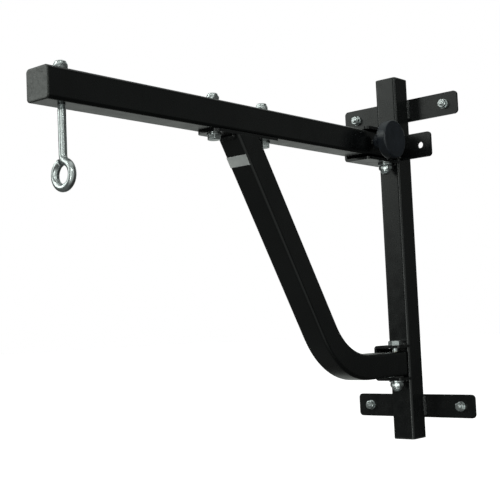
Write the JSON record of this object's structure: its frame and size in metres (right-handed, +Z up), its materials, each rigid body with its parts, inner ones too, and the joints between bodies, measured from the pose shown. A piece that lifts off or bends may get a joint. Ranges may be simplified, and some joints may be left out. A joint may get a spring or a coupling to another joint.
{
  "type": "punch bag wall bracket",
  "caption": "Wall bracket with a braced square swing arm, a screw-in lock knob and a swivelling eye bolt from which a punch bag hangs.",
  "frame": {"origin": "on the wall's face, in the middle of the four wall anchors", "axes": "+X along the wall to the side that the arm swings to, +Y into the wall, +Z up"},
  "size_m": [0.225, 0.802, 0.605],
  "materials": {
    "black_powder_coat": "satin black powder coat on steel",
    "zinc_plate": "bright zinc plate",
    "black_plastic": "moulded black plastic, slight sheen",
    "washer_plastic": "plain black bearing plastic",
    "bush_brass": "plain bearing bronze",
    "label_foil": "blank silver label"
  },
  "bodies": {
    "wall_frame": {"post_tube": "black_powder_coat", "post_top_cap": "black_plastic", "post_bottom_cap": "black_plastic", "upper_wall_plate": "black_powder_coat", "lower_wall_plate": "black_powder_coat", "plate_welds": "black_powder_coat", "wall_clips": "zinc_plate", "wall_studs": "zinc_plate", "wall_nuts": "zinc_plate", "wall_washers": "zinc_plate", "upper_bracket": "black_powder_coat", "lower_bracket": "black_powder_coat", "bracket_welds": "black_powder_coat", "lock_ear": "black_powder_coat", "ear_weld": "black_powder_coat", "bracket_lock_nut": "black_powder_coat", "upper_pivot_bolt": "zinc_plate", "lower_pivot_bolt": "zinc_plate", "pivot_washers": "zinc_plate", "pivot_nuts": "zinc_plate"},
    "swing_arm": {"arm_tube": "black_powder_coat", "arm_end_cap": "black_plastic", "upper_pivot_bush": "bush_brass", "lower_pivot_bush": "bush_brass", "thrust_washers": "washer_plastic", "brace_tube": "black_powder_coat", "brace_plate": "black_powder_coat", "brace_weld": "black_powder_coat", "brace_bolts": "zinc_plate", "brace_washers": "zinc_plate", "brace_nuts": "zinc_plate", "brace_label": "label_foil"},
    "lock_carrier": {"lock_washer": "black_powder_coat"},
    "lock_knob": {"knob_grip": "black_plastic", "knob_stud": "black_powder_coat"},
    "eye_hanger": {"eye_bolt": "zinc_plate", "eye_nut": "zinc_plate", "eye_washer": "zinc_plate"}
  },
  "joints": [
    {"name": "arm_swing", "type": "hinge", "parent": "wall_frame", "child": "swing_arm", "pos_m": [0.005, -0.0635, 0], "axis": [0, 0, 1], "range_deg": [0, 45]},
    {"name": "knob_travel", "type": "slide", "parent": "swing_arm", "child": "lock_carrier", "axis": [-1, 0, 0], "range_m": [0, 0.006]},
    {"name": "knob_turn", "type": "hinge", "parent": "lock_carrier", "child": "lock_knob", "pos_m": [0, -0.1185, 0.182], "axis": [-1, 0, 0], "range_deg": [0, 1440]},
    {"name": "eye_swivel", "type": "hinge", "parent": "swing_arm", "child": "eye_hanger", "pos_m": [0, -0.737, 0], "axis": [0, 0, 1], "continuous": true}
  ],
  "couplings": [
    {"joint": "knob_turn", "follows": "knob_travel", "rad_per_m": 4188.8}
  ]
}
